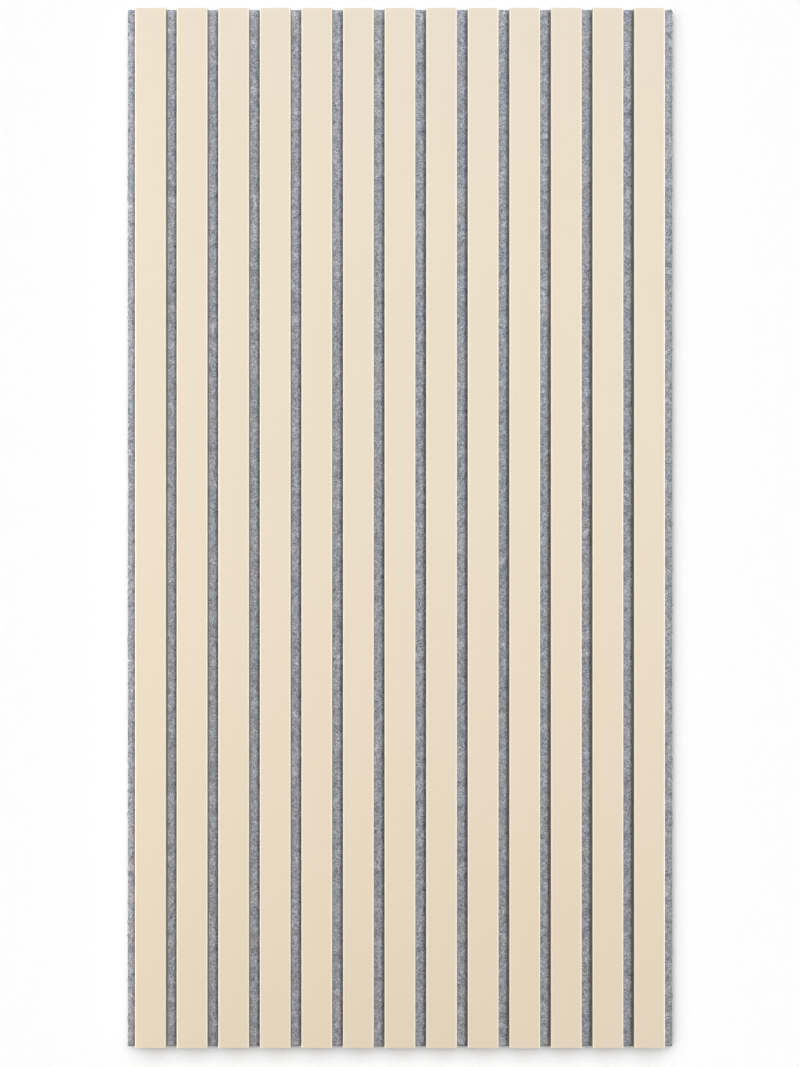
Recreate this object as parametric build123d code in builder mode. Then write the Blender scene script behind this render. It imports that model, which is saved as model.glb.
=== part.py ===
"""Slatted acoustic wall panel: coated fibreboard slats glued side by side on a board of pressed felt.

The panel lies on its back. X runs across the slats, Y runs along them and Z points out of their faces.
The origin is the middle of the felt's back face.
"""

import os

from build123d import *

# Driving dimensions, in millimetres
slat_length = 1000.0
slat_count = 13
slat_width = 30.0
slat_thickness = 12.0
slat_gap = 10.0
arris_radius = 1.5  # eased long edges of a slat's face
felt_thickness = 9.0
felt_margin = 9.0  # felt that shows beside the first and the last slat
felt_end_margin = 2.5  # felt that shows past the slats' ends

# Sizes that follow from them
slat_pitch = slat_width + slat_gap
slat_span = slat_count * slat_pitch - slat_gap
felt_width = slat_span + 2 * felt_margin
felt_length = slat_length + 2 * felt_end_margin
first_slat_x = (slat_width - slat_span) / 2

os.makedirs("parts", exist_ok=True)

# Felt backing: one flat board, cut square, a little longer than the slats
with BuildPart() as felt_backing:
    with BuildSketch(Plane.XY):
        Rectangle(felt_width, felt_length)
    extrude(amount=felt_thickness)

felt_backing.part.label = "felt_backing"
export_step(felt_backing.part, "parts/felt_backing.step")


def make_slat(name, centre_x):
    """Draw a slat's section where it stands on the felt, run it to length and ease its face's long edges."""
    section_plane = Plane(
        origin=(centre_x, slat_length / 2, felt_thickness), x_dir=(1, 0, 0), z_dir=(0, -1, 0)
    )
    with BuildPart() as slat:
        with BuildSketch(section_plane):
            Rectangle(slat_width, slat_thickness, align=(Align.CENTER, Align.MIN))
        extrude(amount=slat_length)
        face_edges = slat.edges().filter_by(Axis.Y).group_by(Axis.Z)[-1]
        fillet(face_edges, radius=arris_radius)
    slat.part.label = name
    return slat


# Slats: numbered from left to right, all of one section
for index in range(slat_count):
    slat = make_slat(f"slat_{index + 1:02d}", first_slat_x + index * slat_pitch)
    export_step(slat.part, f"parts/{slat.part.label}.step")
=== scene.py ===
# %% [markdown]
# # A slatted acoustic panel
#
# The panel is thirteen flat beige slats glued side by side on a board of grey felt. It lies on its back on
# a white floor, and the camera looks straight down on it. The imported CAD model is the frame: the pieces'
# sizes and places are read from its boxes, so each piece lands where its CAD node is.

# %% Load the frame and read its sizes
import math

import bpy
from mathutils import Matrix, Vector


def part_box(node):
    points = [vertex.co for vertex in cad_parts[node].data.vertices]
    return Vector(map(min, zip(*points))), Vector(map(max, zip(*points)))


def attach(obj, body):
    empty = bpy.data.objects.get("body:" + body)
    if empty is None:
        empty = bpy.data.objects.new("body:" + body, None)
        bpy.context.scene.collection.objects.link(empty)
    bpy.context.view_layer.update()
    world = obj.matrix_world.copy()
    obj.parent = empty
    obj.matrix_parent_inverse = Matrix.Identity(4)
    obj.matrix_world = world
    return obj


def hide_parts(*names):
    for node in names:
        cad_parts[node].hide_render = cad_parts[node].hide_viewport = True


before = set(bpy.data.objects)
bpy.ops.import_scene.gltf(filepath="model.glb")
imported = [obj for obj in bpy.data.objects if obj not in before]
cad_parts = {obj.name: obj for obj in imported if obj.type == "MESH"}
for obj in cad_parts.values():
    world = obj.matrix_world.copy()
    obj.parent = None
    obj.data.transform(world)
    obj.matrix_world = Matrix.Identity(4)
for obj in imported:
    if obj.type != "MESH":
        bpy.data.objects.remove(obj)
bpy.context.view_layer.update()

MM = 0.001
slat_nodes = sorted(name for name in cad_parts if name.startswith("slat_"))

felt_low, felt_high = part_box("felt_backing")
first_low, first_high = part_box(slat_nodes[0])
second_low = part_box(slat_nodes[1])[0]

felt_width = felt_high[0] - felt_low[0]
felt_length = felt_high[1] - felt_low[1]
felt_thickness = felt_high[2] - felt_low[2]
slat_width = first_high[0] - first_low[0]
slat_length = first_high[1] - first_low[1]
slat_thickness = first_high[2] - first_low[2]
slat_pitch = second_low[0] - first_low[0]
slat_gap = slat_pitch - slat_width
slat_span = slat_pitch * len(slat_nodes) - slat_gap
slat_face_z = first_high[2]
print(f"{len(slat_nodes)} slats of {slat_width / MM:.1f} by {slat_length / MM:.0f} mm")
print(f"slat pitch {slat_pitch / MM:.1f} mm, slat thickness {slat_thickness / MM:.1f} mm")
print(f"felt of {felt_width / MM:.0f} by {felt_length / MM:.0f} by {felt_thickness / MM:.1f} mm")

# %% [markdown]
# ## Three small tools
#
# Colours are written as sRGB hex, the way a paint chart gives them, while shaders work on linear light, so
# one function turns the first into the second. Node trees are built by another: it adds a node, sets it up
# and fills its sockets with values or with links from earlier nodes. Only the sockets that the node shows are
# counted, so a Mix of colours has just Factor, A and B. The third starts a material.

# %% Colour and node helpers
def linear(hex_colour):
    """Turn an sRGB hex colour into linear red, green, blue and alpha."""
    channels = [int(hex_colour[i:i + 2], 16) / 255 for i in (1, 3, 5)]
    return [c / 12.92 if c <= 0.04045 else ((c + 0.055) / 1.055) ** 2.4 for c in channels] + [1.0]


def add_node(tree, kind, inputs=None, **settings):
    """Add a node, apply its settings, and fill its sockets with values or with links from other nodes."""
    made = tree.nodes.new(kind)
    for name, value in settings.items():
        setattr(made, name, value)
    shown = [socket for socket in made.inputs if socket.enabled]
    for key, value in (inputs or {}).items():
        socket = shown[key] if isinstance(key, int) else next(s for s in shown if s.name == key)
        if isinstance(value, bpy.types.Node):
            value = next(output for output in value.outputs if output.enabled)
        if isinstance(value, bpy.types.NodeSocket):
            tree.links.new(value, socket)
        else:
            socket.default_value = value
    return made


def new_material(name):
    """Make a material whose tree holds a Principled shader, and return it with the tree and the shader."""
    material = bpy.data.materials.new(name)
    material.use_nodes = True
    tree = material.node_tree
    return material, tree, tree.nodes["Principled BSDF"]


print("helpers ready: linear, add_node, new_material")

# %% [markdown]
# ## Finish of the slats: sprayed satin lacquer on fibreboard
#
# The slats show no grain at all: fibreboard was sprayed with a plain beige lacquer and dried to a satin. Up
# close such a coat has a faint orange peel, ripples a couple of millimetres across and less than a hundredth
# of a millimetre high. Its gloss drifts a little, and its tone by about one percent. Noise on Object
# coordinates, which are metres here, gives all three, so a scale is one over a real size.
#
# The coat is not one colour all round. A pale line along the top of each eased edge is a painted highlight,
# for the light those edges catch, and there the coat is also a little glossier. The sides are painted browner
# as painted shade, for the shade in the gaps between the slats. The slat's mesh says where, in two
# attributes: `edge` runs from 0 to 1 across the eased edge, and `side` runs down it.

# %% Satin lacquer
lacquer_colour = "#EBDDC8"
lacquer_shade = "#E8D9C2"
# a painted highlight: the pale line along the eased edges
painted_highlight_colour = "#FFF8EA"
# painted shade: the browner colour of the slats' sides, where the gaps are in shade
painted_shade_colour = "#AE9A7C"
peel_size = 2.2 * MM
peel_height = 0.02 * MM
drift_size = 140 * MM
# where the painted highlight and the painted shade start and are whole
pale_from, pale_full = 0.04, 0.25  # where on `edge` the pale line starts and is whole
brown_from, brown_full = 0.18, 0.7  # where on `side` the brown starts and is whole
satin_smoothest, satin_roughest = 0.40, 0.50
edge_smoothing = 0.12

satin_lacquer, tree, shader = new_material("sprayed_satin_lacquer")
place = add_node(tree, "ShaderNodeTexCoord").outputs["Object"]
drift = add_node(tree, "ShaderNodeTexNoise", {"Vector": place, "Scale": 1 / drift_size, "Detail": 3.0})
tone = add_node(tree, "ShaderNodeMix", {
    "Factor": drift, "A": linear(lacquer_colour), "B": linear(lacquer_shade)}, data_type="RGBA")
edge = add_node(tree, "ShaderNodeAttribute", attribute_name="edge").outputs["Fac"]
# how much painted highlight: it rises across the eased edge
painted_highlight_mask = add_node(tree, "ShaderNodeMapRange", {
    "Value": edge, "From Min": pale_from, "From Max": pale_full})
with_painted_highlight = add_node(tree, "ShaderNodeMix", {
    "Factor": painted_highlight_mask, "A": tone, "B": linear(painted_highlight_colour)}, data_type="RGBA")
# how much painted shade: it rises down the slat's side
side = add_node(tree, "ShaderNodeAttribute", attribute_name="side").outputs["Fac"]
painted_shade_mask = add_node(tree, "ShaderNodeMapRange", {
    "Value": side, "From Min": brown_from, "From Max": brown_full})
coat = add_node(tree, "ShaderNodeMix", {
    "Factor": painted_shade_mask, "A": with_painted_highlight, "B": linear(painted_shade_colour)}, data_type="RGBA")
satin = add_node(tree, "ShaderNodeMapRange", {
    "Value": drift, "To Min": satin_smoothest, "To Max": satin_roughest})
smoother = add_node(tree, "ShaderNodeMath", {
    0: painted_highlight_mask, 1: -edge_smoothing, 2: satin}, operation="MULTIPLY_ADD")
peel = add_node(tree, "ShaderNodeTexNoise", {"Vector": place, "Scale": 1 / peel_size, "Detail": 2.0})
ripple = add_node(tree, "ShaderNodeBump", {"Strength": 0.35, "Distance": peel_height, "Height": peel})
tree.links.new(coat.outputs[2], shader.inputs["Base Color"])
tree.links.new(smoother.outputs[0], shader.inputs["Roughness"])
tree.links.new(ripple.outputs[0], shader.inputs["Normal"])
shader.inputs["IOR"].default_value = 1.5
print(satin_lacquer.name, len(tree.nodes), "nodes")

# %% [markdown]
# ## Finish of the slat ends: sawn fibreboard
#
# The slats were cut to length after coating, so their ends show the board itself: brown wood fibre, matt and
# slightly furry from the saw. Noise that is stretched across the slat and tight through its thickness gives
# the fibres.

# %% Sawn fibreboard
board_colour = "#B99A70"
board_dark = "#94764F"
fibre_length = 1.6 * MM
fibre_width = 0.35 * MM
fur_height = 0.15 * MM

sawn_fibreboard, tree, shader = new_material("sawn_fibreboard")
place = add_node(tree, "ShaderNodeTexCoord").outputs["Object"]
stretched = add_node(tree, "ShaderNodeMapping", {
    "Vector": place, "Scale": (1 / fibre_length, 1 / fibre_length, 1 / fibre_width)})
fibres = add_node(tree, "ShaderNodeTexNoise", {
    "Vector": stretched, "Scale": 1.0, "Detail": 4.0, "Roughness": 0.65})
contrast = add_node(tree, "ShaderNodeMapRange", {"Value": fibres, "From Min": 0.3, "From Max": 0.7})
tone = add_node(tree, "ShaderNodeMix", {
    "Factor": contrast, "A": linear(board_dark), "B": linear(board_colour)}, data_type="RGBA")
fur = add_node(tree, "ShaderNodeBump", {"Strength": 0.6, "Distance": fur_height, "Height": fibres})
tree.links.new(tone.outputs[2], shader.inputs["Base Color"])
tree.links.new(fur.outputs[0], shader.inputs["Normal"])
shader.inputs["Roughness"].default_value = 0.9
shader.inputs["IOR"].default_value = 1.5
print(sawn_fibreboard.name, len(tree.nodes), "nodes")

# %% [markdown]
# ## Finish of the board: pressed heather felt
#
# The felt is polyester fibre of several greys, carded together and needled into a board. The eye sees a cool
# grey flecked with short pale and dark streaks that run every way, because each streak is a few fibres lying
# side by side. A single fibre is 0.03 mm thick, far finer than a pixel here, so the streaks are drawn about
# 1 mm wide and 5 mm long, which is how they clump. Three layers of stretched noise, each turned another way
# and bent by a slow warp, give the streaks: the crests of a layer are pale fibres and its hollows dark ones.
# Soft clouds and a slow change of tint lie over them.

# %% Pressed felt
felt_cool = "#969CA8"
felt_warm = "#A0A2A7"
pale_fibre = "#DFE2E8"
dark_fibre = "#4C4F55"
streak_length = 5.2 * MM
streak_width = 0.95 * MM
layer_thickness = 0.8 * MM
warp_size = 8 * MM
warp_reach = 3 * MM
cloud_size = 9 * MM
cloud_dim, cloud_bright = 0.8, 1.2
tint_size = 22 * MM
streak_height = 0.25 * MM
streak_turns = (12, 70, 131)

pressed_felt, tree, shader = new_material("pressed_heather_felt")
place = add_node(tree, "ShaderNodeTexCoord").outputs["Object"]
warp = add_node(tree, "ShaderNodeTexNoise", {"Vector": place, "Scale": 1 / warp_size, "Detail": 1.0})
bend = add_node(tree, "ShaderNodeVectorMath", {
    0: warp.outputs["Color"], 1: (warp_reach,) * 3, 2: place}, operation="MULTIPLY_ADD")
crests = []
hollows = []
for turn in streak_turns:
    turned = add_node(tree, "ShaderNodeMapping", {
        "Vector": bend, "Rotation": (0, 0, math.radians(turn))}, vector_type="TEXTURE")
    drawn = add_node(tree, "ShaderNodeMapping", {
        "Vector": turned, "Location": (turn, 0, turn),
        "Scale": (1 / streak_length, 1 / streak_width, 1 / layer_thickness)})
    layer = add_node(tree, "ShaderNodeTexNoise", {
        "Vector": drawn, "Scale": 1.0, "Detail": 2.0, "Roughness": 0.6})
    crests.append(add_node(tree, "ShaderNodeMapRange", {
        "Value": layer, "From Min": 0.55, "From Max": 0.76}))
    hollows.append(add_node(tree, "ShaderNodeMapRange", {
        "Value": layer, "From Min": 0.45, "From Max": 0.24}))
pale = crests[0]
dark = hollows[0]
for crest, hollow in zip(crests[1:], hollows[1:]):
    pale = add_node(tree, "ShaderNodeMath", {0: pale, 1: crest}, operation="MAXIMUM")
    dark = add_node(tree, "ShaderNodeMath", {0: dark, 1: hollow}, operation="MAXIMUM")
tint = add_node(tree, "ShaderNodeTexNoise", {"Vector": place, "Scale": 1 / tint_size, "Detail": 1.0})
tinted = add_node(tree, "ShaderNodeMapRange", {"Value": tint, "From Min": 0.35, "From Max": 0.65})
ground = add_node(tree, "ShaderNodeMix", {
    "Factor": tinted, "A": linear(felt_cool), "B": linear(felt_warm)}, data_type="RGBA")
with_dark = add_node(tree, "ShaderNodeMix", {
    "Factor": dark, "A": ground, "B": linear(dark_fibre)}, data_type="RGBA")
with_pale = add_node(tree, "ShaderNodeMix", {
    "Factor": pale, "A": with_dark, "B": linear(pale_fibre)}, data_type="RGBA")
cloud = add_node(tree, "ShaderNodeTexNoise", {"Vector": place, "Scale": 1 / cloud_size, "Detail": 2.0})
cloudy = add_node(tree, "ShaderNodeMapRange", {
    "Value": cloud, "From Min": 0.3, "From Max": 0.7, "To Min": cloud_dim, "To Max": cloud_bright})
tone = add_node(tree, "ShaderNodeVectorMath", {0: with_pale, "Scale": cloudy}, operation="SCALE")
height = add_node(tree, "ShaderNodeMath", {0: pale, 1: dark}, operation="SUBTRACT")
relief = add_node(tree, "ShaderNodeBump", {"Strength": 0.5, "Distance": streak_height, "Height": height})
tree.links.new(tone.outputs[0], shader.inputs["Base Color"])
tree.links.new(relief.outputs[0], shader.inputs["Normal"])
shader.inputs["Roughness"].default_value = 0.95
shader.inputs["IOR"].default_value = 1.45
shader.inputs["Specular IOR Level"].default_value = 0.2
shader.inputs["Sheen Weight"].default_value = 0.12
shader.inputs["Sheen Roughness"].default_value = 0.6
print(pressed_felt.name, len(tree.nodes), "nodes")

# %% [markdown]
# ## Growing pieces from Geometry Nodes
#
# A Geometry Nodes tree is a recipe with named inputs. `new_recipe` starts one from a list of inputs, and
# `grow` runs it on an object once, keeps the plain mesh that comes out and takes the modifier off again,
# because the frame wants finished meshes.

# %% Recipe helpers
SOCKETS = {"length": "NodeSocketFloat", "count": "NodeSocketInt", "place": "NodeSocketVector",
           "material": "NodeSocketMaterial", "mesh": "NodeSocketGeometry"}


def new_recipe(name, **inputs):
    """Start a Geometry Nodes tree with these inputs, and return it with its Group Input node."""
    recipe = bpy.data.node_groups.new(name, "GeometryNodeTree")
    for label, kind in inputs.items():
        recipe.interface.new_socket(label, in_out="INPUT", socket_type=SOCKETS[kind])
    recipe.interface.new_socket("Geometry", in_out="OUTPUT", socket_type=SOCKETS["mesh"])
    return recipe, recipe.nodes.new("NodeGroupInput").outputs


def grow(name, recipe, values, mesh=None):
    """Run a recipe with these values on a new object, and leave the object with the plain mesh it made."""
    piece = bpy.data.objects.new(name, mesh or bpy.data.meshes.new(name))
    bpy.context.scene.collection.objects.link(piece)
    modifier = piece.modifiers.new(recipe.name, "NODES")
    modifier.node_group = recipe
    for item in recipe.interface.items_tree:
        if item.in_out == "INPUT" and item.name in values:
            modifier[item.identifier] = values[item.name]
    made = bpy.data.meshes.new_from_object(piece.evaluated_get(bpy.context.evaluated_depsgraph_get()))
    piece.modifiers.remove(modifier)
    piece.data = made
    made.name = name
    return piece


print("recipe helpers ready: new_recipe, grow")

# %% [markdown]
# ## The slats
#
# Each slat is one straight run of one section: a rectangle whose two face corners are eased. Fillet Curve
# rounds just those two corners, and Curve to Mesh runs the section from end to end and closes it. The eased
# edges are shaded smooth, while the flats stay flat, so light turns over the edge in a clean line. Two
# attributes for the lacquer's painted highlight and painted shade are measured on the section: `edge` grows
# from the face's flat to the side, and `side` grows from the face downwards, each over one radius. The sawn
# ends get a material of their own.

# %% Slat recipe: section and run
squarely = 0.9999  # a flat faces along an axis by at least this share, an eased facet by less

recipe, given = new_recipe(
    "slat_from_section", Width="length", Thickness="length", Length="length", Arris="length",
    Steps="count", Seat="place", Coat="material", Sawn="material")
outline = add_node(recipe, "GeometryNodeCurvePrimitiveQuadrilateral", {
    "Width": given["Width"], "Height": given["Thickness"]})
corner = add_node(recipe, "ShaderNodeSeparateXYZ", {0: add_node(recipe, "GeometryNodeInputPosition")})
on_face = add_node(recipe, "FunctionNodeCompare", {
    "A": corner.outputs["Y"], "B": 0.0}, operation="LESS_THAN")
eased = add_node(recipe, "GeometryNodeSwitch", {
    "Switch": on_face, "True": given["Arris"]}, input_type="FLOAT")
section = add_node(recipe, "GeometryNodeFilletCurve", {
    "Curve": outline, "Radius": eased, "Count": given["Steps"], "Limit Radius": True}, mode="POLY")
half = add_node(recipe, "ShaderNodeMath", {0: given["Length"], 1: 0.5}, operation="MULTIPLY")
near = add_node(recipe, "ShaderNodeMath", {0: half, 1: -1.0}, operation="MULTIPLY")
run = add_node(recipe, "GeometryNodeCurvePrimitiveLine", {
    "Start": add_node(recipe, "ShaderNodeCombineXYZ", {"Y": near}),
    "End": add_node(recipe, "ShaderNodeCombineXYZ", {"Y": half})})
bar = add_node(recipe, "GeometryNodeCurveToMesh", {
    "Curve": run, "Profile Curve": section, "Fill Caps": True})
facing = add_node(recipe, "ShaderNodeSeparateXYZ", {0: add_node(recipe, "GeometryNodeInputNormal")})
shares = [add_node(recipe, "ShaderNodeMath", {0: facing.outputs[axis]}, operation="ABSOLUTE")
          for axis in "XYZ"]
squarest = add_node(recipe, "ShaderNodeMath", {0: shares[0], 1: shares[1]}, operation="MAXIMUM")
squarest = add_node(recipe, "ShaderNodeMath", {0: squarest, 1: shares[2]}, operation="MAXIMUM")
on_arris = add_node(recipe, "FunctionNodeCompare", {
    "A": squarest, "B": squarely}, operation="LESS_THAN")
at_end = add_node(recipe, "FunctionNodeCompare", {"A": shares[1], "B": 0.5}, operation="GREATER_THAN")
shaded = add_node(recipe, "GeometryNodeSetShadeSmooth", {"Geometry": bar, "Shade Smooth": on_arris})
print(recipe.name, "section and run:", len(recipe.nodes), "nodes")

# %% Slat recipe: attributes, seat and materials
spot = add_node(recipe, "ShaderNodeSeparateXYZ", {0: add_node(recipe, "GeometryNodeInputPosition")})
off_middle = add_node(recipe, "ShaderNodeMath", {0: spot.outputs["X"]}, operation="ABSOLUTE")
ways = []
for way, size in ((off_middle, "Width"), (spot.outputs["Z"], "Thickness")):
    outer = add_node(recipe, "ShaderNodeMath", {0: given[size], 1: 0.5}, operation="MULTIPLY")
    inner = add_node(recipe, "ShaderNodeMath", {0: outer, 1: given["Arris"]}, operation="SUBTRACT")
    ways.append(add_node(recipe, "ShaderNodeMapRange", {
        "Value": way, "From Min": inner, "From Max": outer}))
past_face = add_node(recipe, "ShaderNodeMath", {0: 1.0, 1: ways[1]}, operation="SUBTRACT")
# `edge` places the lacquer's painted highlight, `side` its painted shade
marked = add_node(recipe, "GeometryNodeStoreNamedAttribute", {
    "Geometry": shaded, "Name": "edge", "Value": ways[0]}, data_type="FLOAT", domain="POINT")
sided = add_node(recipe, "GeometryNodeStoreNamedAttribute", {
    "Geometry": marked, "Name": "side", "Value": past_face}, data_type="FLOAT", domain="POINT")
seated = add_node(recipe, "GeometryNodeSetPosition", {"Geometry": sided, "Offset": given["Seat"]})
solid = add_node(recipe, "GeometryNodeRealizeInstances", {"Geometry": seated})
coated = add_node(recipe, "GeometryNodeSetMaterial", {"Geometry": solid, "Material": given["Coat"]})
sawn = add_node(recipe, "GeometryNodeSetMaterial", {
    "Geometry": coated, "Selection": at_end, "Material": given["Sawn"]})
add_node(recipe, "NodeGroupOutput", {"Geometry": sawn})
print(recipe.name, len(recipe.nodes), "nodes")

# %% Slats on their seats
arris_radius = 1.5 * MM  # the frame's boxes don't give it
arris_steps = 8
panel_pieces = []
for node in slat_nodes:
    low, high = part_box(node)
    slat = grow(node + "_lacquered", recipe, {
        "Width": slat_width, "Thickness": slat_thickness, "Length": slat_length, "Arris": arris_radius,
        "Steps": arris_steps, "Seat": [(a + b) / 2 for a, b in zip(low, high)],
        "Coat": satin_lacquer, "Sawn": sawn_fibreboard})
    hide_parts(node)
    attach(slat, "root")
    panel_pieces.append(slat)
print(len(panel_pieces), "slats of", len(slat.data.polygons), "faces, in",
      [material.name for material in slat.data.materials])

# %% [markdown]
# ## The felt board
#
# A felt board isn't a perfect slab: needling leaves its face lumpy by a tenth or two of a millimetre, and
# the knife leaves its cut edge a little ragged. The board starts as a finely divided block. Its columns are
# drawn together in the strips that show, and one wide column is left under each slat. Noise then sinks the
# face and the sides inwards, so nothing rises into a slat or out of the block.

# %% Felt recipe: block with its columns drawn to the strips
recipe, given = new_recipe(
    "felt_board", Width="length", Length="length", Thickness="length", Pitch="length", Gap="length",
    Span="length", Strips="count", Columns="count", Rows="count", Layers="count", Relief="length",
    Lump="length", Felt="material")
block_size = add_node(recipe, "ShaderNodeCombineXYZ", {
    "X": given["Width"], "Y": given["Length"], "Z": given["Thickness"]})
lines = add_node(recipe, "ShaderNodeMath", {0: given["Strips"], 1: given["Columns"]}, operation="MULTIPLY")
block = add_node(recipe, "GeometryNodeMeshCube", {
    "Size": block_size, "Vertices X": lines, "Vertices Y": given["Rows"], "Vertices Z": given["Layers"]})
point = add_node(recipe, "GeometryNodeInputPosition")
at = add_node(recipe, "ShaderNodeSeparateXYZ", {0: point})
share = add_node(recipe, "ShaderNodeMath", {0: at.outputs["X"], 1: given["Width"]}, operation="DIVIDE")
from_left = add_node(recipe, "ShaderNodeMath", {0: share, 1: 0.5}, operation="ADD")
last_line = add_node(recipe, "ShaderNodeMath", {0: lines, 1: 1.0}, operation="SUBTRACT")
counted = add_node(recipe, "ShaderNodeMath", {0: from_left, 1: last_line}, operation="MULTIPLY")
line = add_node(recipe, "ShaderNodeMath", {0: counted}, operation="ROUND")
strips_past = add_node(recipe, "ShaderNodeMath", {0: line, 1: given["Columns"]}, operation="DIVIDE")
strip = add_node(recipe, "ShaderNodeMath", {0: strips_past}, operation="FLOOR")
column = add_node(recipe, "ShaderNodeMath", {0: line, 1: given["Columns"]}, operation="MODULO")
half_span = add_node(recipe, "ShaderNodeMath", {0: given["Span"], 1: -0.5}, operation="MULTIPLY")
strip_end = add_node(recipe, "ShaderNodeMath", {
    0: strip, 1: given["Pitch"], 2: half_span}, operation="MULTIPLY_ADD")
strip_start = add_node(recipe, "ShaderNodeMath", {0: strip_end, 1: given["Gap"]}, operation="SUBTRACT")
right_edge = add_node(recipe, "ShaderNodeMath", {0: given["Width"], 1: 0.5}, operation="MULTIPLY")
left_edge = add_node(recipe, "ShaderNodeMath", {0: given["Width"], 1: -0.5}, operation="MULTIPLY")
shown_start = add_node(recipe, "ShaderNodeMath", {0: strip_start, 1: left_edge}, operation="MAXIMUM")
shown_end = add_node(recipe, "ShaderNodeMath", {0: strip_end, 1: right_edge}, operation="MINIMUM")
last_column = add_node(recipe, "ShaderNodeMath", {0: given["Columns"], 1: 1.0}, operation="SUBTRACT")
across = add_node(recipe, "ShaderNodeMath", {0: column, 1: last_column}, operation="DIVIDE")
spread_x = add_node(recipe, "ShaderNodeMapRange", {
    "Value": across, "To Min": shown_start, "To Max": shown_end})
half_thick = add_node(recipe, "ShaderNodeMath", {0: given["Thickness"], 1: 0.5}, operation="MULTIPLY")
lifted_z = add_node(recipe, "ShaderNodeMath", {0: at.outputs["Z"], 1: half_thick}, operation="ADD")
spread = add_node(recipe, "ShaderNodeCombineXYZ", {"X": spread_x, "Y": at.outputs["Y"], "Z": lifted_z})
drawn = add_node(recipe, "GeometryNodeSetPosition", {"Geometry": block, "Position": spread})
print(recipe.name, "columns drawn:", len(recipe.nodes), "nodes")

# %% Felt recipe: lumps
back_tolerance = 0.01 * MM

finer = add_node(recipe, "ShaderNodeMath", {0: 1.0, 1: given["Lump"]}, operation="DIVIDE")
lumps = add_node(recipe, "ShaderNodeTexNoise", {
    "Vector": point, "Scale": finer, "Detail": 2.0, "Roughness": 0.6})
depth = add_node(recipe, "ShaderNodeMath", {0: lumps, 1: given["Relief"]}, operation="MULTIPLY")
sunk = add_node(recipe, "ShaderNodeMath", {0: depth, 1: -1.0}, operation="MULTIPLY")
outward = add_node(recipe, "GeometryNodeInputNormal")
inward = add_node(recipe, "ShaderNodeVectorMath", {0: outward, "Scale": sunk}, operation="SCALE")
not_back = add_node(recipe, "FunctionNodeCompare", {
    "A": at.outputs["Z"], "B": back_tolerance}, operation="GREATER_THAN")
lumpy = add_node(recipe, "GeometryNodeSetPosition", {
    "Geometry": drawn, "Selection": not_back, "Offset": inward})
smooth = add_node(recipe, "GeometryNodeSetShadeSmooth", {"Geometry": lumpy, "Shade Smooth": True})
solid = add_node(recipe, "GeometryNodeRealizeInstances", {"Geometry": smooth})
felted = add_node(recipe, "GeometryNodeSetMaterial", {"Geometry": solid, "Material": given["Felt"]})
add_node(recipe, "NodeGroupOutput", {"Geometry": felted})
print(recipe.name, len(recipe.nodes), "nodes")

# %% Felt board
strip_columns = 8
felt_rows = 321
felt_layers = 4
felt_relief = 0.3 * MM
lump_size = 5 * MM

felt_board = grow("felt_board", recipe, {
    "Width": felt_width, "Length": felt_length, "Thickness": felt_thickness, "Pitch": slat_pitch,
    "Gap": slat_gap, "Span": slat_span, "Strips": len(slat_nodes) + 1, "Columns": strip_columns,
    "Rows": felt_rows, "Layers": felt_layers, "Relief": felt_relief, "Lump": lump_size,
    "Felt": pressed_felt})
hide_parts("felt_backing")
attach(felt_board, "root")
panel_pieces.append(felt_board)
felt_board.data.calc_loop_triangles()
print("felt board:", len(felt_board.data.loop_triangles), "triangles")

# %% [markdown]
# ## The nap: loose fibres on the felt
#
# Needled felt never closes quite smooth: single fibres and small tufts work loose and lie on it in short
# curls, paler or darker than the ground. They could be bump alone, but then the edge of the board and a close
# look would show a bare slab, so they are real. Points are scattered on the felt that shows, each carries one
# short bent curve turned at random, and the curves become thin three-sided tubes. A fibre of 0.03 mm can't
# show here, so each tube stands for a tuft and is drawn about a third of a millimetre thick. A fibre that
# would run into a slat is turned aside along the slat's foot.

# %% Loose fibre
tuft_pale = "#E4E6EB"
tuft_dark = "#3E4147"

loose_fibre, tree, shader = new_material("loose_polyester_fibre")
tone = add_node(tree, "ShaderNodeAttribute", attribute_name="tone").outputs["Fac"]
tint = add_node(tree, "ShaderNodeMix", {
    "Factor": tone, "A": linear(tuft_dark), "B": linear(tuft_pale)}, data_type="RGBA")
tree.links.new(tint.outputs[2], shader.inputs["Base Color"])
shader.inputs["Roughness"].default_value = 0.7
shader.inputs["IOR"].default_value = 1.45
shader.inputs["Specular IOR Level"].default_value = 0.2
print(loose_fibre.name, len(tree.nodes), "nodes")

# %% Nap recipe: where fibres lie
recipe, given = new_recipe(
    "felt_nap", Board="mesh", Density="length", Reach="length", Bend="length", Radius="length",
    Thickness="length", Pitch="length", Gap="length", Span="length", Width="length", Length="length",
    Clearance="length", Seed="count", Fibre="material")
at = add_node(recipe, "ShaderNodeSeparateXYZ", {0: add_node(recipe, "GeometryNodeInputPosition")})
facing = add_node(recipe, "ShaderNodeSeparateXYZ", {0: add_node(recipe, "GeometryNodeInputNormal")})
half_gap = add_node(recipe, "ShaderNodeMath", {0: given["Gap"], 1: 0.5}, operation="MULTIPLY")
half_pitch = add_node(recipe, "ShaderNodeMath", {0: given["Pitch"], 1: 0.5}, operation="MULTIPLY")
half_span = add_node(recipe, "ShaderNodeMath", {0: given["Span"], 1: 0.5}, operation="MULTIPLY")
to_first = add_node(recipe, "ShaderNodeMath", {0: half_span, 1: half_gap}, operation="ADD")
from_first = add_node(recipe, "ShaderNodeMath", {0: at.outputs["X"], 1: to_first}, operation="ADD")
back_half = add_node(recipe, "ShaderNodeMath", {0: half_pitch, 1: -1.0}, operation="MULTIPLY")
aside = add_node(recipe, "ShaderNodeMath", {0: from_first, 1: half_pitch, 2: back_half}, operation="WRAP")
off_middle = add_node(recipe, "ShaderNodeMath", {0: aside}, operation="ABSOLUTE")
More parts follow.
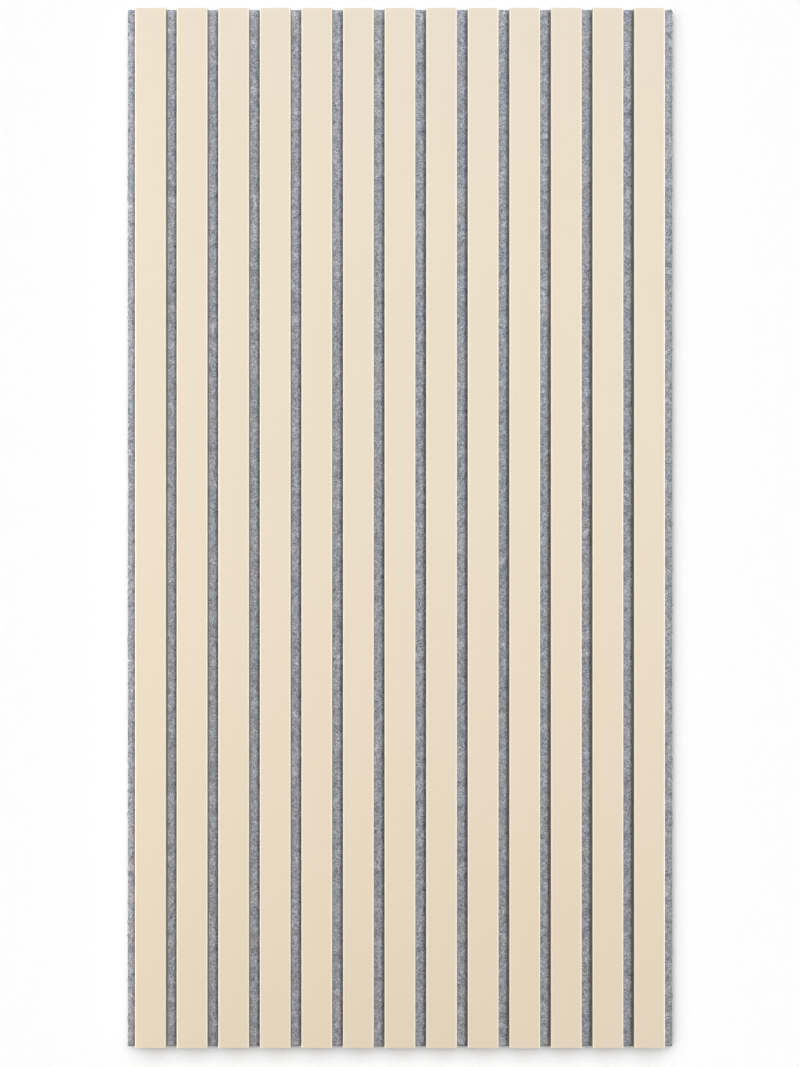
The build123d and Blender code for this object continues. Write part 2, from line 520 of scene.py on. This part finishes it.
in_strip = add_node(recipe, "FunctionNodeCompare", {"A": off_middle, "B": half_gap}, operation="LESS_THAN")
faces_up = add_node(recipe, "FunctionNodeCompare", {
    "A": facing.outputs["Z"], "B": 0.5}, operation="GREATER_THAN")
upright = add_node(recipe, "ShaderNodeMath", {0: facing.outputs["Z"]}, operation="ABSOLUTE")
faces_out = add_node(recipe, "FunctionNodeCompare", {"A": upright, "B": 0.5}, operation="LESS_THAN")
open_face = add_node(recipe, "FunctionNodeBooleanMath", {0: faces_up, 1: in_strip}, operation="AND")
shows = add_node(recipe, "FunctionNodeBooleanMath", {0: open_face, 1: faces_out}, operation="OR")
roots = add_node(recipe, "GeometryNodeDistributePointsOnFaces", {
    "Mesh": given["Board"], "Selection": shows, "Density": given["Density"], "Seed": given["Seed"]})
root_facing = add_node(recipe, "ShaderNodeSeparateXYZ", {0: roots.outputs["Normal"]})
lies_flat = add_node(recipe, "FunctionNodeCompare", {
    "A": root_facing.outputs["Z"], "B": 0.5}, operation="GREATER_THAN")
sorted_roots = add_node(recipe, "GeometryNodeStoreNamedAttribute", {
    "Geometry": roots.outputs["Points"], "Name": "lies_flat", "Value": lies_flat},
    data_type="BOOLEAN", domain="POINT")
print(recipe.name, "roots:", len(recipe.nodes), "nodes")

# %% Nap recipe: one fibre on each point
fibre_tilt = 0.04  # radians by which a fibre's end may rise or dip
fibre_shortest, fibre_longest = 0.5, 1.3

half_reach = add_node(recipe, "ShaderNodeMath", {0: given["Reach"], 1: 0.5}, operation="MULTIPLY")
back_reach = add_node(recipe, "ShaderNodeMath", {0: given["Reach"], 1: -0.5}, operation="MULTIPLY")
curl = add_node(recipe, "GeometryNodeCurveQuadraticBezier", {
    "Resolution": 3, "Start": add_node(recipe, "ShaderNodeCombineXYZ", {"X": back_reach}),
    "Middle": add_node(recipe, "ShaderNodeCombineXYZ", {"Y": given["Bend"]}),
    "End": add_node(recipe, "ShaderNodeCombineXYZ", {"X": half_reach})})
turn = add_node(recipe, "FunctionNodeRandomValue", {
    "Min": (0.0, -fibre_tilt, 0.0), "Max": (0.0, fibre_tilt, math.tau), "Seed": 1},
    data_type="FLOAT_VECTOR")
turn_by = add_node(recipe, "FunctionNodeEulerToRotation", {"Euler": turn})
turned = add_node(recipe, "FunctionNodeRotateRotation", {
    "Rotation": roots.outputs["Rotation"], "Rotate By": turn_by}, rotation_space="LOCAL")
stretch = add_node(recipe, "FunctionNodeRandomValue", {
    "Min": (fibre_shortest, -1.0, 1.0), "Max": (fibre_longest, 1.0, 1.0), "Seed": 2},
    data_type="FLOAT_VECTOR")
laid = add_node(recipe, "GeometryNodeInstanceOnPoints", {
    "Points": sorted_roots, "Instance": curl, "Rotation": turned, "Scale": stretch})
tone = add_node(recipe, "FunctionNodeRandomValue", {"Min": 0.0, "Max": 1.0, "Seed": 3}, data_type="FLOAT")
toned = add_node(recipe, "GeometryNodeStoreNamedAttribute", {
    "Geometry": laid, "Name": "tone", "Value": tone}, data_type="FLOAT", domain="INSTANCE")
loose = add_node(recipe, "GeometryNodeRealizeInstances", {"Geometry": toned})
print(recipe.name, "fibres laid:", len(recipe.nodes), "nodes")

# %% Nap recipe: fibres kept off the slats, then given their thickness
no_limit = 1.0  # metres, past any fibre's height

half_free = add_node(recipe, "ShaderNodeMath", {0: half_gap, 1: given["Clearance"]}, operation="SUBTRACT")
back_free = add_node(recipe, "ShaderNodeMath", {0: half_free, 1: -1.0}, operation="MULTIPLY")
held = add_node(recipe, "ShaderNodeClamp", {"Value": aside, "Min": back_free, "Max": half_free})
strip_middle = add_node(recipe, "ShaderNodeMath", {0: at.outputs["X"], 1: aside}, operation="SUBTRACT")
held_x = add_node(recipe, "ShaderNodeMath", {0: strip_middle, 1: held}, operation="ADD")
on_face = add_node(recipe, "ShaderNodeCombineXYZ", {
    "X": held_x, "Y": at.outputs["Y"], "Z": at.outputs["Z"]})
low_z = add_node(recipe, "ShaderNodeMath", {0: given["Radius"], 1: 2.0}, operation="MULTIPLY")
high_z = add_node(recipe, "ShaderNodeMath", {0: given["Thickness"], 1: low_z}, operation="SUBTRACT")
held_z = add_node(recipe, "ShaderNodeClamp", {"Value": at.outputs["Z"], "Min": low_z, "Max": high_z})
on_side = add_node(recipe, "ShaderNodeCombineXYZ", {
    "X": at.outputs["X"], "Y": at.outputs["Y"], "Z": held_z})
flat = add_node(recipe, "GeometryNodeInputNamedAttribute", {"Name": "lies_flat"}, data_type="BOOLEAN")
kept_place = add_node(recipe, "GeometryNodeSwitch", {
    "Switch": flat, "False": on_side, "True": on_face}, input_type="VECTOR")
reach = [add_node(recipe, "ShaderNodeMath", {
    0: given[size], 1: 0.5, 2: given["Clearance"]}, operation="MULTIPLY_ADD") for size in ("Width", "Length")]
furthest = add_node(recipe, "ShaderNodeCombineXYZ", {"X": reach[0], "Y": reach[1], "Z": no_limit})
nearest = add_node(recipe, "ShaderNodeVectorMath", {0: furthest, "Scale": -1.0}, operation="SCALE")
not_over = add_node(recipe, "ShaderNodeVectorMath", {0: kept_place, 1: furthest}, operation="MINIMUM")
not_under = add_node(recipe, "ShaderNodeVectorMath", {0: not_over, 1: nearest}, operation="MAXIMUM")
kept = add_node(recipe, "GeometryNodeSetPosition", {"Geometry": loose, "Position": not_under})
section = add_node(recipe, "GeometryNodeCurvePrimitiveCircle", {
    "Resolution": 3, "Radius": given["Radius"]})
tubes = add_node(recipe, "GeometryNodeCurveToMesh", {
    "Curve": kept, "Profile Curve": section, "Fill Caps": True})
plain = add_node(recipe, "GeometryNodeRemoveAttribute", {"Geometry": tubes, "Name": "lies_flat"})
round_shaded = add_node(recipe, "GeometryNodeSetShadeSmooth", {"Geometry": plain, "Shade Smooth": True})
solid = add_node(recipe, "GeometryNodeRealizeInstances", {"Geometry": round_shaded})
coloured = add_node(recipe, "GeometryNodeSetMaterial", {"Geometry": solid, "Material": given["Fibre"]})
add_node(recipe, "NodeGroupOutput", {"Geometry": coloured})
print(recipe.name, len(recipe.nodes), "nodes")

# %% Nap
fibres_per_square_metre = 56000.0
fibre_reach = 6.5 * MM
fibre_bend = 2.4 * MM
tuft_radius = 0.16 * MM
nap_clearance = 0.4 * MM
nap_seed = 7

felt_nap = grow("felt_nap", recipe, {
    "Density": fibres_per_square_metre, "Reach": fibre_reach, "Bend": fibre_bend, "Radius": tuft_radius,
    "Thickness": felt_thickness, "Pitch": slat_pitch, "Gap": slat_gap, "Span": slat_span,
    "Width": felt_width, "Length": felt_length, "Clearance": nap_clearance, "Seed": nap_seed,
    "Fibre": loose_fibre}, felt_board.data.copy())
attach(felt_nap, "root")
panel_pieces.append(felt_nap)
felt_nap.data.calc_loop_triangles()
print("felt nap:", len(felt_nap.data.loop_triangles), "triangles", felt_nap.data.materials[:])

# %% [markdown]
# ## Floor and world
#
# The photo is a catalogue picture on a white ground. The floor is matt paper, wide enough to fill any view,
# and it lies a hair below the felt so that the two don't fight for the same height. The world is white where
# it is looked at, and gives the pieces only a little even light.

# %% White floor and world
floor_reach = 12.0
floor_drop = 0.2 * MM
paper_white = 0.95
ambient = 0.08

floor_mesh = bpy.data.meshes.new("floor")
corners = [(-1, -1), (1, -1), (1, 1), (-1, 1)]
floor_mesh.from_pydata(
    [(x * floor_reach, y * floor_reach, -floor_drop) for x, y in corners], [], [(0, 1, 2, 3)])
floor = bpy.data.objects.new("floor", floor_mesh)
bpy.context.scene.collection.objects.link(floor)
white_paper, tree, shader = new_material("matt_white_paper")
shader.inputs["Base Color"].default_value = (paper_white, paper_white, paper_white, 1)
shader.inputs["Roughness"].default_value = 1.0
shader.inputs["Specular IOR Level"].default_value = 0.0
floor_mesh.materials.append(white_paper)

world = bpy.data.worlds.new("studio")
bpy.context.scene.world = world
world.use_nodes = True
tree = world.node_tree
seen = add_node(tree, "ShaderNodeLightPath")
looked_at = add_node(tree, "ShaderNodeMath", {
    0: seen.outputs["Is Camera Ray"], 1: seen.outputs["Is Glossy Ray"]}, operation="MAXIMUM")
looked_through = add_node(tree, "ShaderNodeMath", {
    0: looked_at, 1: seen.outputs["Is Transmission Ray"]}, operation="MAXIMUM")
strength = add_node(tree, "ShaderNodeMapRange", {
    "Value": looked_through, "To Min": ambient, "To Max": 1.0})
tree.links.new(strength.outputs[0], tree.nodes["Background"].inputs["Strength"])
tree.nodes["Background"].inputs["Color"].default_value = (1, 1, 1, 1)
print("floor and world ready")

# %% [markdown]
# ## Lamps
#
# The shadow on the floor and the light on the panel don't come from one set of lamps, so the two are linked
# apart: each lamp names the group of pieces that it lights. A level of 1 makes a level white surface at the
# origin render white, so colours come out about as they are written.
#
# On the panel, a softbox at the upper right is the key and leaves the right side of each gap in shade. A wide
# warm ceiling and a cool fill from the far end make the slats cooler at the top and warmer below. Low strips
# beside the panel light the eased edges, and one past the far end lifts the felt there.
#
# On the floor, two rings of soft suns stand for a sky that is brightest towards the far left. Together they
# add up to white, and where the panel hides some of them they leave the shadow: faint on the left and above,
# deeper on the right and below. A cosine gives each sun its share, so the lean is one number.

# %% Lamp helpers
receivers = {"panel_only": panel_pieces, "slats_only": panel_pieces[:len(slat_nodes)],
             "felt_only": [felt_board, felt_nap], "floor_only": [floor]}
for group, lit in receivers.items():
    receivers[group] = bpy.data.collections.new(group)
    for piece in lit:
        receivers[group].objects.link(piece)


def hang_lamp(name, kind, group, colour):
    """Make a lamp of this kind and colour that lights only one group of receivers, and return its object."""
    lamp = bpy.data.lights.new(name, kind)
    lamp.color = linear(colour)[:3]
    hung = bpy.data.objects.new(name, lamp)
    hung.light_linking.receiver_collection = receivers[group]
    hung.visible_camera = False
    hung.visible_glossy = False
    bpy.context.scene.collection.objects.link(hung)
    return hung


def add_sun(name, level, tilt, heading, softness):
    """Add a sun that lights a level white floor at this level, tilted from the zenith towards a heading."""
    sun = hang_lamp(name, "SUN", "floor_only", "#FFFFFF")
    sun.data.energy = level * math.pi / math.cos(math.radians(tilt))
    sun.data.angle = math.radians(softness)
    sun.rotation_euler = (0, math.radians(tilt), math.radians(heading))


def add_softbox(name, level, place, aim, size, group="panel_only", colour="#FFFFFF"):
    """Add a softbox, aimed at a point, that lights a level white surface at the origin at this level."""
    box = hang_lamp(name, "AREA", group, colour)
    box.data.shape = "RECTANGLE"
    box.data.size, box.data.size_y = size
    away = Vector(place)
    out = (away - Vector(aim)).normalized()
    facing = away.normalized().z * away.normalized().dot(out)
    box.data.energy = level * math.pi ** 2 * away.length_squared / facing
    box.location = away
    box.rotation_euler = out.to_track_quat("Z", "Y").to_euler()


print("lamp helpers ready, for", list(receivers))

# %% Lamps on the panel
add_softbox("ceiling", 0.245, (-0.9, -1.2, 3), (-0.45, -0.6, 0), (5, 5), colour="#FFE2BC")
add_softbox("key_overhead", 0.545, (0.57, 0.11, 2.4), (-1.7, 0, 0), (0.67, 0.67), colour="#FFFDFA")
add_softbox("fill_from_far_end", 0.26, (0, 2.2, 2.2), (0, 0, 0), (1.6, 1.6), colour="#C6E4FF")
add_softbox("strip_on_left", 0.115, (-0.75, 0, 0.1), (0, 0, 0.02), (1.8, 0.1))
add_softbox("strip_on_right", 0.066, (0.75, 0, 0.1), (0, 0, 0.02), (1.8, 0.1), "slats_only")
add_softbox("strip_past_far_end", 0.033, (0, 0.6, 0.25), (0, 0.3, 0), (0.7, 0.1), "felt_only", "#FFF1E4")
print("lamps on the panel:", [lamp.name for lamp in bpy.data.lights])

# %% Lamps on the floor
floor_level = 0.955
sky_tilts = (28, 47)
sky_heading = 115  # the brightest heading, towards the far left
sky_lean = 1.4
sky_step = 30
sky_softness = 20

sky_shares = {}
for heading in range(0, 360, sky_step):
    share = 1 + sky_lean * math.cos(math.radians(heading - sky_heading))
    if share > 0:
        sky_shares[heading] = share
sky_total = sum(sky_shares.values()) * len(sky_tilts)
for tilt in sky_tilts:
    for heading, share in sky_shares.items():
        add_sun(f"sky_{tilt}_{heading}", floor_level * share / sky_total, tilt, heading, sky_softness)
print("suns on the floor:", [lamp.name for lamp in bpy.data.lights if lamp.type == "SUN"])

# %% [markdown]
# ## Camera
#
# The camera looks straight down. How much of the slats' sides shows in the outer gaps says how high it hung,
# and the slats' length in the photo then gives the lens.

# %% Camera
frame_px = (800, 1067)
slats_px = 1040.2  # the slats' length in the photo
centre_px = 528.0  # the panel's middle, down from the photo's top edge
camera_rise = 1.4  # metres above the slats' faces
sensor_mm = 36

px = slat_length / slats_px
camera_data = bpy.data.cameras.new("camera")
camera_data.sensor_width = sensor_mm
camera_data.lens = sensor_mm * camera_rise / (frame_px[1] * px)
camera = bpy.data.objects.new("camera", camera_data)
camera.location = (0, (centre_px - frame_px[1] / 2) * px, slat_face_z + camera_rise)
bpy.context.scene.collection.objects.link(camera)
bpy.context.scene.camera = camera
bpy.context.scene.view_settings.view_transform = "Standard"
print(f"camera lens {camera_data.lens:.1f} mm at {camera.location[:]}")
